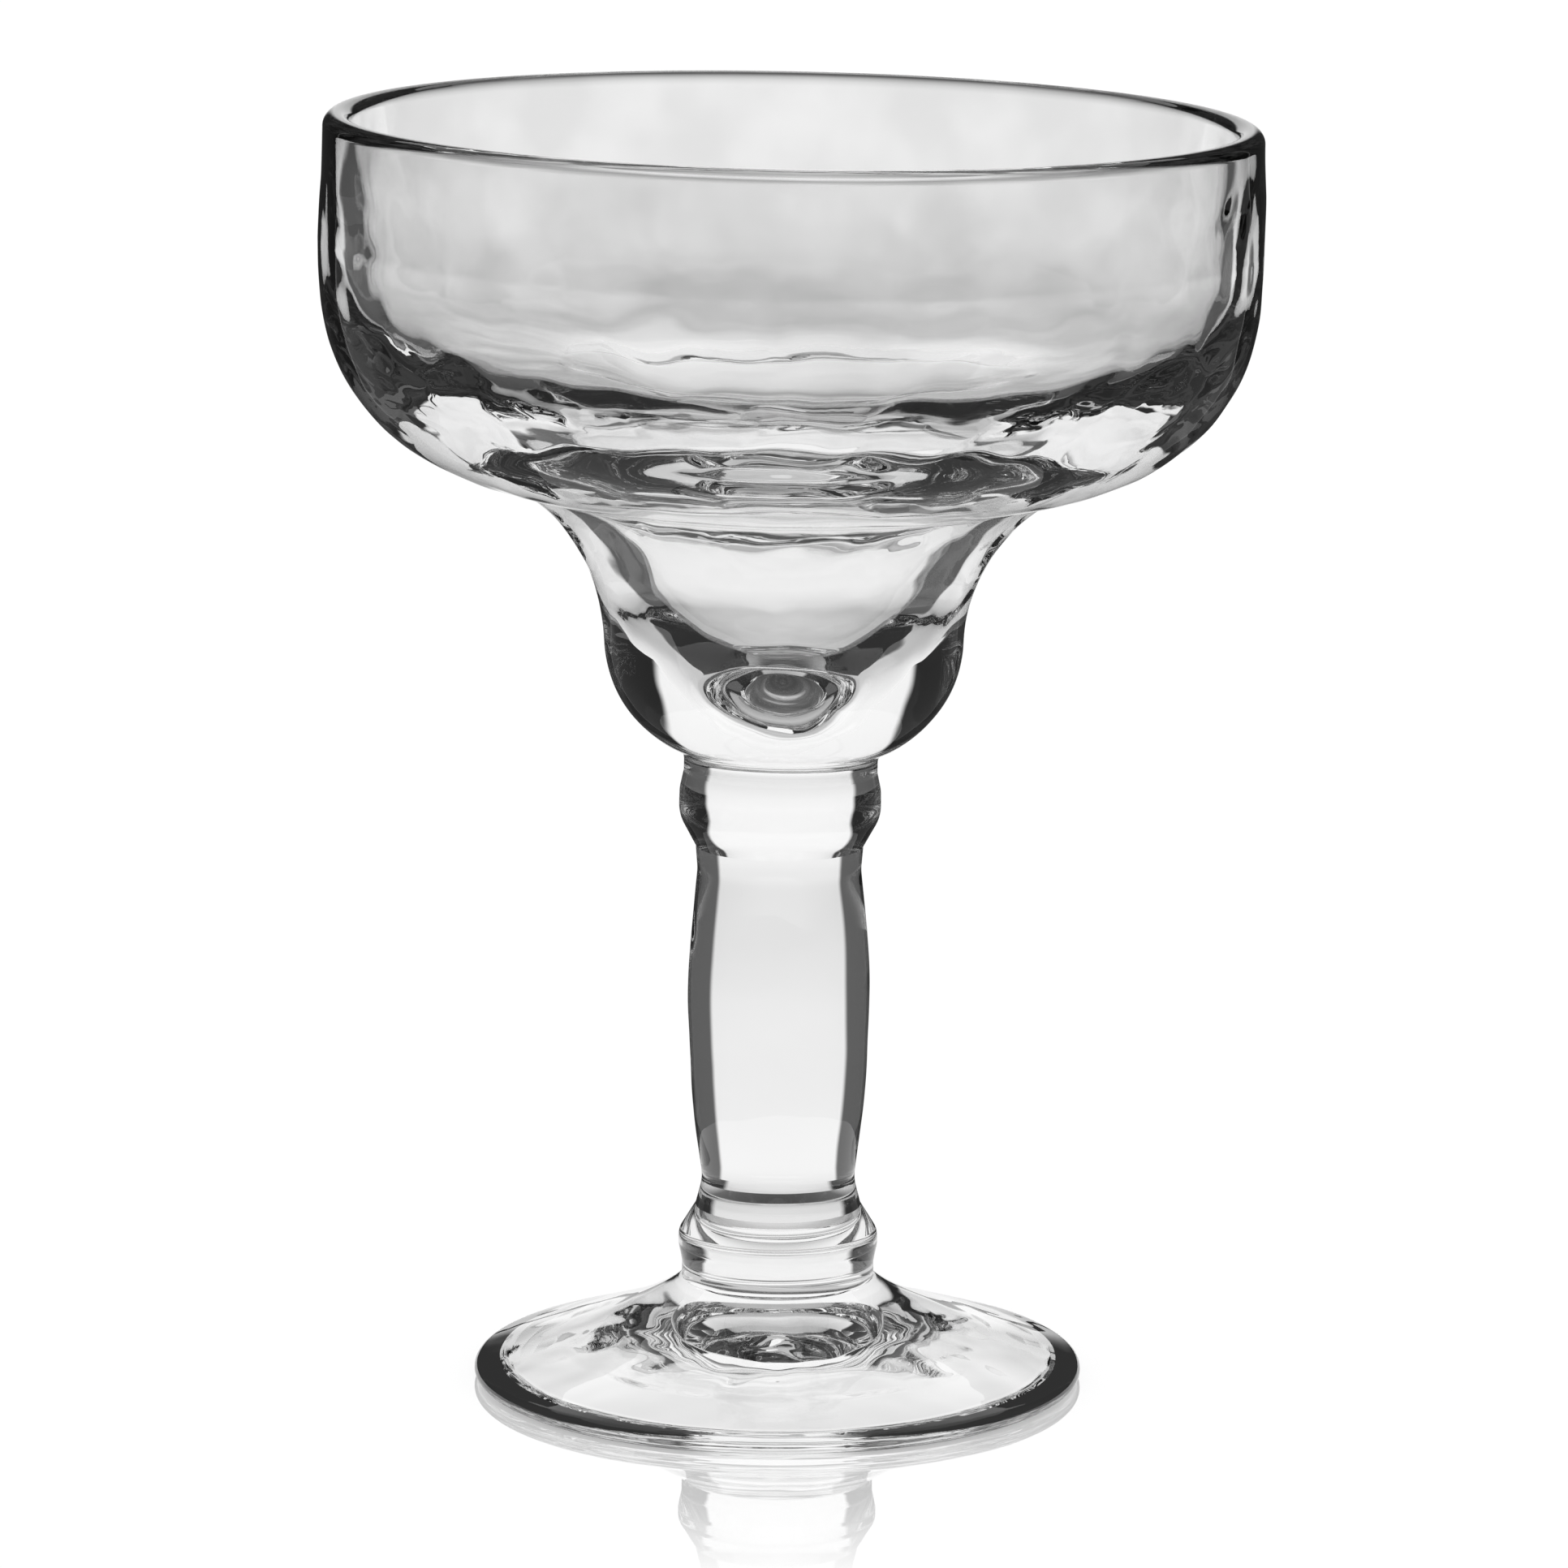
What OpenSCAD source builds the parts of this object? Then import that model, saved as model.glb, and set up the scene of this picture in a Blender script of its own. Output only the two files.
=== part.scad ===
// Margarita glass: a wide shallow dish over a narrow thick-walled well, on a
// baluster stem between two knops, on a round coned foot. Clear pressed glass,
// every piece round about the upright axis, fused hot to the next at a flat seam.
// The origin is at the centre of the underside, where the glass rests.

/* [Foot] */
// Diameter of the foot
foot_d = 76.6; // [60:0.5:95]
// Height of the foot, from the table to the lower knop
foot_h = 13.1; // [10:0.1:20]
// Thickness of the rounded lip at the edge of the foot
foot_lip_t = 2.4; // [1.6:0.1:3.6]
// Slope of the straight outer part of the foot, in degrees
foot_slope = 17.9; // [10:0.1:20]
// Width of the flat ring that the glass rests on
rest_ring_w = 4; // [3:0.5:8]
// Rise of the hollow under the foot
foot_hollow_h = 6; // [1:0.1:8]

/* [Lower knop] */
// Diameter of the seam between the foot and the lower knop
foot_seam_d = 24.2; // [20:0.1:25]
// Diameter of the lower knop at its widest
lower_knop_d = 25.1; // [24:0.1:32]
// Height of the lower knop
lower_knop_h = 9.2; // [7:0.1:14]

/* [Stem] */
// Diameter of the seam between the lower knop and the stem
stem_foot_d = 20.8; // [16:0.1:23]
// Diameter of the waist near the bottom of the stem
stem_waist_d = 19; // [14:0.1:20]
// Diameter of the stem where its lower taper ends
stem_lower_d = 21.8; // [20:0.1:26]
// Diameter of the stem at its widest
stem_wide_d = 23.1; // [20:0.1:28]
// Diameter of the seam between the stem and the upper knop
stem_top_d = 21; // [16:0.1:24]
// Height of the stem between the two knops
stem_h = 46.1; // [35:0.1:80]

/* [Upper knop] */
// Diameter of the upper knop at its widest
upper_knop_d = 25.3; // [24.5:0.1:32]
// Height of the upper knop
upper_knop_h = 9.4; // [7:0.1:14]
// Diameter of the seam between the upper knop and the bowl
neck_d = 24.2; // [20:0.1:25]

/* [Well of the bowl] */
// Outside diameter of the well where its round underside ends
well_d = 44.8; // [38:0.1:54]
// Radius of the round underside of the well
well_round = 15.8; // [13:0.1:17]
// Radius of the hollow curve between the well and the dish
shoulder_round = 24; // [18:0.5:30]
// Outside diameter where that curve meets the underside of the dish
shoulder_d = 68; // [56:0.1:72]
// Diameter where the floor of the dish starts to roll over into the well
mouth_d = 77; // [66:0.5:80]
// Radius of that roll
mouth_round = 30; // [22:0.5:34]
// Flare of the hollow's side where the roll ends, in degrees
hollow_flare = 18; // [14:0.5:32]
// Depth of the well's hollow below the floor of the dish
hollow_depth = 36; // [24:0.5:38]

/* [Dish of the bowl] */
// Outside diameter of the dish at its widest
dish_d = 116.5; // [100:0.5:140]
// Height of the dish, from its underside to the top of the rim
dish_h = 46.6; // [38:0.1:70]
// Height of the widest place above the underside of the dish
belly_h = 31.4; // [22:0.1:34]
// Diameter of the flat middle of the dish's underside
dish_flat_d = 38; // [30:0.5:50]
// Thickness of the dish's wall
wall_t = 5; // [2:0.1:6]
// Thickness of the dish's floor
floor_t = 11; // [3.5:0.1:12]
// Outside diameter across the rim
rim_d = 115.8; // [98:0.5:138]
// Thickness of the rounded rim
rim_t = 3.5; // [2.2:0.1:5]

/* [Hidden] */
$fn = 96;

// Shape of the dish's round side, outside and inside: 2 is an ellipse, more is
// squarer
dish_squareness = 2.63;
inner_squareness = 2.7;
// Steps along one long round stretch, and along one small fillet
long_steps = 14;
short_steps = 5;

// The foot's straight slope covers this share of the way in to the seam, and
// the curve that follows pulls towards a point this share of the way in
foot_straight_share = 0.4;
foot_knee_share = 0.82;

// Heights on the stem, as shares of its length
waist_share = 0.074;
lower_share = 0.285;
wide_share = 0.645;
throat_share = 0.935;
// Diameter just under the upper knop, as a share of the seam there
throat_d_share = 0.976;
// A rounded corner takes at most this share of each side it lies between, and
// a corner wider than this angle counts as straight
corner_reach_share = 0.48;
straight_angle = 179;

// Radii that soften the stem's corners: the waist's, and the long barrel's
waist_round = 6;
barrel_round = 400;

// The lower knop stands upright, swells, stands upright again and rounds in:
// the ends of those stretches, as shares of its height
lower_knop_side_share = 0.22;
lower_knop_wide_share = 0.46;
lower_knop_turn_share = 0.62;
// The upper knop swells to its widest and leans in again to the neck
upper_knop_swell_share = 0.42;
upper_knop_turn_share = 0.76;
// Width of the upper knop at that turn, as a share of its widest
upper_knop_turn_d_share = 0.995;
// Radii that round the knops
lower_knop_round = 2.2;
upper_knop_round = 5;

// Height of each piece's lower seam above the table
lower_knop_z = foot_h;
stem_z = lower_knop_z + lower_knop_h;
upper_knop_z = stem_z + stem_h;
bowl_z = upper_knop_z + upper_knop_h;

// The neck stands upright for this height, and softens into the well's underside
neck_side_h = 2.4;
neck_soft_r = 2;
neck_soft_turn = 9;
// The well's side leans out by this angle where its two curves meet
well_flare = 2.5;

// Centre of the well's round underside, above the neck seam
well_centre_r = well_d / 2 - well_round * cos(well_flare);
neck_turn = acos((neck_d / 2 - well_centre_r) / well_round);
well_centre_z = neck_side_h + well_round * sin(neck_turn);

// Centre of the hollow curve, which meets the underside at a tangent and ends
// where its distance from the axis is that of the shoulder
shoulder_centre_r = well_d / 2 + shoulder_round * cos(well_flare);
shoulder_centre_z = well_centre_z
    - (well_round + shoulder_round) * sin(well_flare);
shoulder_turn = acos((shoulder_centre_r - shoulder_d / 2) / shoulder_round);
shoulder_z = shoulder_centre_z + shoulder_round * sin(shoulder_turn);

// Place of the dish: its underside has already risen a little at the shoulder
dish_a = (dish_d - dish_flat_d) / 2;
shoulder_rise = belly_h
    * (1 - squared_rise((shoulder_d - dish_flat_d) / 2 / dish_a, dish_squareness));
dish_z = shoulder_z - shoulder_rise;
belly_z = dish_z + belly_h;
rim_z = dish_z + dish_h;

// The dish's floor, and where it starts to roll over into the well's hollow
floor_z = dish_z + floor_t;
inner_a = dish_a - wall_t;
inner_b = belly_h - floor_t;
mouth_share = (mouth_d - dish_flat_d) / 2 / inner_a;
mouth_rise = squared_rise(mouth_share, inner_squareness);
mouth_slope = atan(inner_b / inner_a * pow(mouth_share / mouth_rise, inner_squareness - 1));

// Centre of the roll, which leaves the floor at a tangent, and its lower end
mouth_centre = [mouth_d / 2 + mouth_round * sin(mouth_slope),
                belly_z - inner_b * mouth_rise - mouth_round * cos(mouth_slope)];
hollow_top = mouth_centre + mouth_round * [-cos(hollow_flare), sin(hollow_flare)];
// The side goes on at that flare and rounds in to the end of the hollow
hollow_end = [0, floor_z - hollow_depth];
hollow_knee = [hollow_top.x - (hollow_top.y - hollow_end.y) * tan(hollow_flare),
               hollow_end.y];

// Colour of clear glass with a trace of grey
glass = [0.86, 0.89, 0.89, 0.5];

// Height left of a unit superellipse at distance x from its centre
function squared_rise(x, n) = pow(1 - pow(x, n), 1 / n);

// Points on a circle's arc, between two angles
function arc(centre, r, from, to, steps) =
    [for (i = [0 : steps])
        let (a = from + (to - from) * i / steps)
        [centre.x + r * cos(a), centre.y + r * sin(a)]];

// Points on a superellipse, between two angles of its own measure
function squared_arc(centre, a, b, n, from, to, steps) =
    [for (i = [0 : steps])
        let (t = from + (to - from) * i / steps)
        [centre.x + a * pow(cos(t), 2 / n), centre.y - b * pow(sin(t), 2 / n)]];

// The angle at which a superellipse is a share x of its half width from centre
function squared_angle(x, n) = acos(pow(x, n / 2));

// Length and unit direction of a line between two points
function span(p, q) = norm(q - p);
function heading(p, q) = (q - p) / span(p, q);

// A curve that leaves p towards the knee and arrives at q from the knee
function bend(p, knee, q, steps) =
    [for (i = [0 : steps])
        let (t = i / steps)
        p * pow(1 - t, 2) + knee * 2 * t * (1 - t) + q * pow(t, 2)];

// All points but the first, for a stretch that goes on from the last one
function onward(points) = [for (i = [1 : len(points) - 1]) points[i]];

// One corner of an outline, rounded by a curve that starts and ends at the same
// distance from it. A corner that is straight already stays one point.
function soft_corner(before, corner, after, r) =
    let (u = heading(corner, before),
         v = heading(corner, after),
         opening = acos(min(1, max(-1, u * v))),
         reach = min(r / tan(opening / 2),
                     span(corner, before) * corner_reach_share,
                     span(corner, after) * corner_reach_share))
    opening > straight_angle
        ? [corner]
        : bend(corner + u * reach, corner, corner + v * reach, short_steps);

// An outline from corner points and the radius that softens each of them
function soften(points, radii) =
    [for (i = [0 : len(points) - 1])
        each (radii[i] == 0
            ? [points[i]]
            : soft_corner(points[i - 1], points[i], points[i + 1], radii[i]))];

// Solid of revolution in clear glass
module turned(outline) {
    color(glass)
        rotate_extrude()
            polygon(outline);
}

// Coned disc with a round lip, a flat resting ring and a hollow under it
module foot() {
    lip_r = foot_lip_t / 2;
    hollow_r = foot_d / 2 - lip_r - rest_ring_w;
    // The hollow is a cap of a sphere of this radius
    cap_r = (pow(hollow_r, 2) + pow(foot_hollow_h, 2)) / (2 * foot_hollow_h);
    cap_turn = asin(hollow_r / cap_r);
    // The straight slope leaves the lip at a tangent
    slope_start = [foot_d / 2 - lip_r + lip_r * sin(foot_slope),
                   lip_r + lip_r * cos(foot_slope)];
    seam = [foot_seam_d / 2, foot_h];
    turned(concat(
        [for (i = [0 : long_steps])
            let (a = cap_turn * i / long_steps)
            [cap_r * sin(a), cap_r * (cos(a) - 1) + foot_hollow_h]],
        arc([foot_d / 2 - lip_r, lip_r], lip_r, -90, 90 - foot_slope,
            2 * short_steps),
        bend(on_slope(slope_start, seam, foot_straight_share),
             on_slope(slope_start, seam, foot_knee_share), seam, long_steps),
        [[0, foot_h]]));
}

// Point on the foot's straight slope, a share of the way in to the seam
function on_slope(start, seam, share) =
    let (run = (start.x - seam.x) * share)
    [start.x - run, start.y + run * tan(foot_slope)];

// Short drum that swells above its middle and rounds in to the stem
module lower_knop() {
    bottom_r = foot_seam_d / 2;
    wide_r = lower_knop_d / 2;
    top_r = stem_foot_d / 2;
    outline = soften(
        [[0, 0],
         [bottom_r, 0],
         [bottom_r, lower_knop_h * lower_knop_side_share],
         [wide_r, lower_knop_h * lower_knop_wide_share],
         [wide_r, lower_knop_h * lower_knop_turn_share],
         [top_r, lower_knop_h],
         [0, lower_knop_h]],
        [0, 0, lower_knop_round, lower_knop_round, lower_knop_round, 0, 0]);
    translate([0, 0, lower_knop_z])
        turned(outline);
}

// Baluster: a waist over the knop, a long barrel and a taper to the top
module stem() {
    top_r = stem_top_d / 2;
    outline = soften(
        [[0, 0],
         [stem_foot_d / 2, 0],
         [stem_waist_d / 2, stem_h * waist_share],
         [stem_lower_d / 2, stem_h * lower_share],
         [stem_wide_d / 2, stem_h * wide_share],
         [top_r * throat_d_share, stem_h * throat_share],
         [top_r, stem_h],
         [0, stem_h]],
        [0, 0, waist_round, barrel_round, barrel_round, waist_round, 0, 0]);
    translate([0, 0, stem_z])
        turned(outline);
}

// Round collar between the stem and the bowl
module upper_knop() {
    bottom_r = stem_top_d / 2;
    wide_r = upper_knop_d / 2;
    outline = soften(
        [[0, 0],
         [bottom_r, 0],
         [wide_r, upper_knop_h * upper_knop_swell_share],
         [wide_r * upper_knop_turn_d_share, upper_knop_h * upper_knop_turn_share],
         [neck_d / 2, upper_knop_h],
         [0, upper_knop_h]],
        [0, 0, upper_knop_round, upper_knop_round, 0, 0]);
    translate([0, 0, upper_knop_z])
        turned(outline);
}

// The well's round underside, from just past the neck to the flare
function well_underside() =
    arc([well_centre_r, well_centre_z], well_round,
        neck_soft_turn - neck_turn, -well_flare, long_steps);

// Outside of the bowl, from the neck seam up to the belly of the dish
function bowl_outside() = concat(
    [[0, 0], [neck_d / 2, 0]],
    soft_corner([neck_d / 2, 0], [neck_d / 2, neck_side_h],
        well_underside()[0], neck_soft_r),
    well_underside(),
    onward(arc([shoulder_centre_r, shoulder_centre_z], shoulder_round,
        180 - well_flare, 180 - shoulder_turn, long_steps)),
    onward(squared_arc([dish_flat_d / 2, belly_z], dish_a, belly_h,
        dish_squareness,
        squared_angle((shoulder_d - dish_flat_d) / 2 / dish_a, dish_squareness),
        0, 2 * long_steps)));

// Rounded rim, over the top from the outside to the inside
function bowl_rim() =
    arc([rim_d / 2 - rim_t / 2, rim_z - rim_t / 2], rim_t / 2, 0, 180,
        2 * short_steps);

// Inside of the bowl, from the belly down over the floor into the well
function bowl_inside() = concat(
    squared_arc([dish_flat_d / 2, belly_z], inner_a, inner_b, inner_squareness,
        0, squared_angle(mouth_share, inner_squareness), 2 * long_steps),
    onward(arc(mouth_centre, mouth_round, 90 + mouth_slope, 180 - hollow_flare,
        long_steps)),
    onward(bend(hollow_top, hollow_knee, hollow_end, long_steps)));

// Dish and well in one piece, with the drinking hollow open at the rim
module bowl() {
    translate([0, 0, bowl_z])
        turned(concat(bowl_outside(), bowl_rim(), bowl_inside()));
}

foot();
lower_knop();
stem();
upper_knop();
bowl();
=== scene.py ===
"""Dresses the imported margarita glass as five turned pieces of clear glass.

The outlines are drawn in millimetres, as a glass mould is, and the meshes, the
table, the cards and the camera are made in metres, in the CAD's frame.
"""

import logging
import math
from dataclasses import dataclass, field
from enum import Enum
from typing import Union

import bpy
import numpy as np
from mathutils import Matrix, Vector, noise


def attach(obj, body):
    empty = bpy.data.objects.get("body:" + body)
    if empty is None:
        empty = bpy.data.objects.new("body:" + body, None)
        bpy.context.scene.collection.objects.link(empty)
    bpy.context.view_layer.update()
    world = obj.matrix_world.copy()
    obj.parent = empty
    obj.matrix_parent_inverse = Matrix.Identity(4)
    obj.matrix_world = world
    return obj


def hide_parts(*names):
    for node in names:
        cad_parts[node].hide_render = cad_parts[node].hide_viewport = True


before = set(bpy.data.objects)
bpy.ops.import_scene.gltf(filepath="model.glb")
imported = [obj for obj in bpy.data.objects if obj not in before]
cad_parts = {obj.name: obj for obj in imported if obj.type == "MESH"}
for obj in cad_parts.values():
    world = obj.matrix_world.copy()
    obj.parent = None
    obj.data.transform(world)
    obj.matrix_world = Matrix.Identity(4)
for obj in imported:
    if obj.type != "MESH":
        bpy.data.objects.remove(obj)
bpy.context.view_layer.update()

log = logging.getLogger("margarita_glass")

MM = 0.001
PHOTO_WIDTH = 1932
BODY = "root"

LONG_STEPS = 120
ROUND_STEPS = 16
STRAIGHT_ANGLE = 179.0
SHARP_ANGLE = 50.0
CORNER_REACH_SHARE = 0.48
NO_LENGTH = 1e-6

Point = tuple[float, float]
Value = Union["Tap", float, tuple]


# Outlines

def squared_rise(x: float, n: float) -> float:
    """Gives the height left of a unit superellipse.

    Args:
        x: Distance from its centre, from 0 to 1.
        n: Squareness, where 2 is a circle.

    Returns:
        The height, from 1 at the centre to 0 at the end.
    """
    return (1 - x ** n) ** (1 / n)


def squared_angle(x: float, n: float) -> float:
    """Gives the angle at which a superellipse has come a share of the way out.

    Args:
        x: The share, from 0 at its centre to 1 at its side.
        n: Squareness, where 2 is a circle.

    Returns:
        The angle, in degrees.
    """
    return math.degrees(math.acos(x ** (n / 2)))


def arc(centre: Point, radius: float, start: float, end: float, steps: int) -> list[Point]:
    """Draws an arc of a circle.

    Args:
        centre: Its centre.
        radius: Its radius.
        start: Angle of its first point, in degrees.
        end: Angle of its last point, in degrees.
        steps: Steps from the first point to the last.

    Returns:
        The points along it.
    """
    angles = [math.radians(start + (end - start) * i / steps) for i in range(steps + 1)]
    return [(centre[0] + radius * math.cos(a), centre[1] + radius * math.sin(a)) for a in angles]


def squared_arc(centre: Point, wide: float, deep: float, n: float,
                start: float, end: float, steps: int) -> list[Point]:
    """Draws part of a superellipse that hangs below its centre.

    Args:
        centre: Its centre.
        wide: Half its width.
        deep: Its depth.
        n: Squareness, where 2 is an ellipse.
        start: Angle of its first point, in degrees.
        end: Angle of its last point, in degrees.
        steps: Steps from the first point to the last.

    Returns:
        The points along it.
    """
    points = []
    for i in range(steps + 1):
        turn = math.radians(start + (end - start) * i / steps)
        across = max(0.0, math.cos(turn)) ** (2 / n)
        down = max(0.0, math.sin(turn)) ** (2 / n)
        points.append((centre[0] + wide * across, centre[1] - deep * down))
    return points


def bend(start: Point, knee: Point, end: Point, steps: int) -> list[Point]:
    """Draws a curve that leaves its start towards a knee and reaches its end from it.

    Args:
        start: Its first point.
        knee: The point that it bends towards.
        end: Its last point.
        steps: Steps from the first point to the last.

    Returns:
        The points along it.
    """
    points = []
    for i in range(steps + 1):
        t = i / steps
        points.append(tuple(start[k] * (1 - t) ** 2 + knee[k] * 2 * t * (1 - t) + end[k] * t ** 2
                            for k in (0, 1)))
    return points


def soft_corner(before: Point, corner: Point, after: Point, radius: float) -> list[Point]:
    """Rounds one corner of an outline.

    Args:
        before: The point before the corner.
        corner: The corner.
        after: The point after it.
        radius: Radius that softens it.

    Returns:
        The points of the rounded corner, or the corner itself if it is straight.
    """
    b, c, a = (Vector(p) for p in (before, corner, after))
    back, on = (b - c).normalized(), (a - c).normalized()
    opening = back.angle(on)
    if math.degrees(opening) > STRAIGHT_ANGLE:
        return [corner]
    reach = min(radius / math.tan(opening / 2),
                (b - c).length * CORNER_REACH_SHARE,
                (a - c).length * CORNER_REACH_SHARE)
    return bend(tuple(c + back * reach), corner, tuple(c + on * reach), ROUND_STEPS)


def soften(points: list[Point], radii: list[float]) -> list[Point]:
    """Rounds the corners of an outline.

    Args:
        points: The outline.
        radii: Each point's own radius, or 0 where it stays as it is.

    Returns:
        The outline with its corners rounded.
    """
    made: list[Point] = []
    for i, radius in enumerate(radii):
        made += (soft_corner(points[i - 1], points[i], points[i + 1], radius)
                 if radius else [points[i]])
    return made


def graded(points: list[Point], reach: float, turn: float) -> list[Point]:
    """Spaces an outline's points by its curve: far apart on the flat, close on a bend.

    Args:
        points: A fine outline.
        reach: Longest step, in millimetres.
        turn: Most that the outline turns between two points, in degrees.

    Returns:
        The points kept, with more set on long straight steps.
    """
    kept, gone, turned = [points[0]], 0.0, 0.0
    for i in range(1, len(points) - 1):
        before, here, after = (Vector(p) for p in points[i - 1:i + 2])
        into, out = here - before, after - here
        if into.length < NO_LENGTH or out.length < NO_LENGTH:
            continue
        gone += into.length
        angle = math.degrees(into.angle(out))
        turned += angle
        if gone + out.length > reach or turned + angle > turn:
            kept.append(points[i])
            gone = turned = 0.0
    kept.append(points[-1])
    spaced = [kept[0]]
    for start, end in zip(kept, kept[1:]):
        parts = max(1, math.ceil(math.dist(start, end) / reach))
        spaced += [(start[0] + (end[0] - start[0]) * k / parts,
                    start[1] + (end[1] - start[1]) * k / parts) for k in range(1, parts + 1)]
    return spaced


# Shaders

class Tap:
    """A node socket that takes part in sums: each operator adds its Math node."""

    def __init__(self, bench: "Bench", socket: bpy.types.NodeSocket) -> None:
        """Wraps a socket of the bench's tree."""
        self.bench = bench
        self.socket = socket

    def _sum(self, operation: str, first: Value, second: Value) -> "Tap":
        """Adds the Math node, or Vector Math node, for an operation on two values.

        Args:
            operation: The operation's name.
            first: Its first value.
            second: Its second value.

        Returns:
            The node's output.
        """
        vector = self.socket.type in ("VECTOR", "RGBA")
        kind = "ShaderNodeVectorMath" if vector else "ShaderNodeMath"
        values = [(v,) * 3 if vector and isinstance(v, (int, float)) else v
                  for v in (first, second)]
        return self.bench.add(kind, {"operation": operation}, {0: values[0], 1: values[1]})

    def __add__(self, other: Value) -> "Tap":
        """self + other."""
        return self._sum("ADD", self, other)

    def __sub__(self, other: Value) -> "Tap":
        """self - other."""
        return self._sum("SUBTRACT", self, other)

    def __rsub__(self, other: Value) -> "Tap":
        """other - self."""
        return self._sum("SUBTRACT", other, self)

    def __mul__(self, other: Value) -> "Tap":
        """self * other."""
        return self._sum("MULTIPLY", self, other)

    __radd__ = __add__
    __rmul__ = __mul__


class Bench:
    """A material's or the world's node tree, laid out from nothing."""

    def __init__(self, owner: Union[bpy.types.Material, bpy.types.World]) -> None:
        """Clears the owner's tree and keeps it."""
        owner.use_nodes = True
        self.tree = owner.node_tree
        self.tree.nodes.clear()

    def add(self, kind: str, settings: dict, inputs: dict, out: Union[int, str] = 0) -> Tap:
        """Adds a node.

        Args:
            kind: The node's type.
            settings: Its settings, set before its sockets. "stops" holds a colour
                ramp's places and greys.
            inputs: Values or taps of its sockets, by name or number.
            out: The output wanted.

        Returns:
            That output.
        """
        made = self.tree.nodes.new(kind)
        for key, value in settings.items():
            if key == "stops":
                ramp = made.color_ramp
                while len(ramp.elements) < len(value):
                    ramp.elements.new(1.0)
                for stop, (place, grey) in zip(ramp.elements, value):
                    stop.position, stop.color = place, (grey, grey, grey, 1.0)
            else:
                setattr(made, key, value)
        for key, value in inputs.items():
            socket = made.inputs[key]
            if isinstance(value, Tap):
                self.tree.links.new(value.socket, socket)
            else:
                socket.default_value = value
        return Tap(self, made.outputs[out])

    def camera_ray(self) -> Tap:
        """Gives 1 for the camera's own rays and 0 for others."""
        return self.add("ShaderNodeLightPath", {}, {}, "Is Camera Ray")

    def ramp(self, value: Value, start: float, end: float, low: Value, high: Value) -> Tap:
        """Leads smoothly from one level to another.

        Args:
            value: The value that sets how far it has come.
            start: Where it starts.
            end: Where it ends.
            low: The level at the start.
            high: The level at the end.

        Returns:
            The level.
        """
        return self.add("ShaderNodeMapRange", {"interpolation_type": "SMOOTHSTEP"}, {
            "Value": value, "From Min": start, "From Max": end, "To Min": low, "To Max": high})

    def show(self, surface: Tap, kind: str = "ShaderNodeOutputMaterial") -> None:
        """Adds the output node and links the shader to it.

        Args:
            surface: The shader.
            kind: Type of the output node.
        """
        made = self.tree.nodes.new(kind)
        self.tree.links.new(surface.socket, made.inputs["Surface"])


def grey(level: float) -> tuple[float, float, float, float]:
    """Gives a neutral colour of one level."""
    return (level, level, level, 1.0)


@dataclass(frozen=True)
class PressedGlass:
    """Clear fire-polished soda-lime glass.

    The thick glass is bright and clear. Above a height, the thin wall of the dish is made
    darker in soft cloudy patches, and faint drag marks vary the polish.
    """

    name: str = "clear_pressed_glass"
    clearness: float = 1.0
    index: float = 1.52
    darken_from: float = 0.110
    darken_to: float = 0.124
    cloud: float = 0.1
    cloud_patch: float = 0.013
    cloud_thin: float = 0.36
    cloud_thick: float = 0.64
    drag: float = 0.012
    drag_patch: float = 0.006
    cloud_detail: float = 2.0
    drag_detail: float = 3.0

    def make(self) -> bpy.types.Material:
        """Builds the material."""
        material = bpy.data.materials.new(self.name)
        bench = Bench(material)
        place = bench.add("ShaderNodeTexCoord", {}, {}, "Object")
        height = bench.add("ShaderNodeSeparateXYZ", {}, {0: place}, "Z")
        noise_of = bench.add("ShaderNodeTexNoise", {}, {
            "Vector": place, "Scale": 1 / self.cloud_patch, "Detail": self.cloud_detail})
        marks = bench.add("ShaderNodeTexNoise", {}, {
            "Vector": place, "Scale": 1 / self.drag_patch, "Detail": self.drag_detail})
        # Above a height, the thin wall of the dish is made darker in soft cloudy patches.
        clouds = bench.ramp(noise_of, self.cloud_thin, self.cloud_thick, 0.0, self.cloud)
        dish_share = bench.ramp(height, self.darken_from, self.darken_to, 0.0, 1.0)
        level = self.clearness - dish_share * clouds
        colour = bench.add("ShaderNodeCombineColor", {}, {
            "Red": level, "Green": level, "Blue": level})
        bench.show(bench.add("ShaderNodeBsdfPrincipled", {}, {
            "Base Color": colour,
            "Roughness": marks * self.drag,
            "IOR": self.index,
            "Transmission Weight": 1.0}))
        return material


@dataclass(frozen=True)
class FusedSeam:
    """The flat inside a fused joint, where light goes straight on."""

    name: str = "fused_seam"

    def make(self) -> bpy.types.Material:
        """Builds the material."""
        material = bpy.data.materials.new(self.name)
        bench = Bench(material)
        bench.show(bench.add("ShaderNodeBsdfTransparent", {}, {"Color": grey(1.0)}))
        return material


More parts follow.
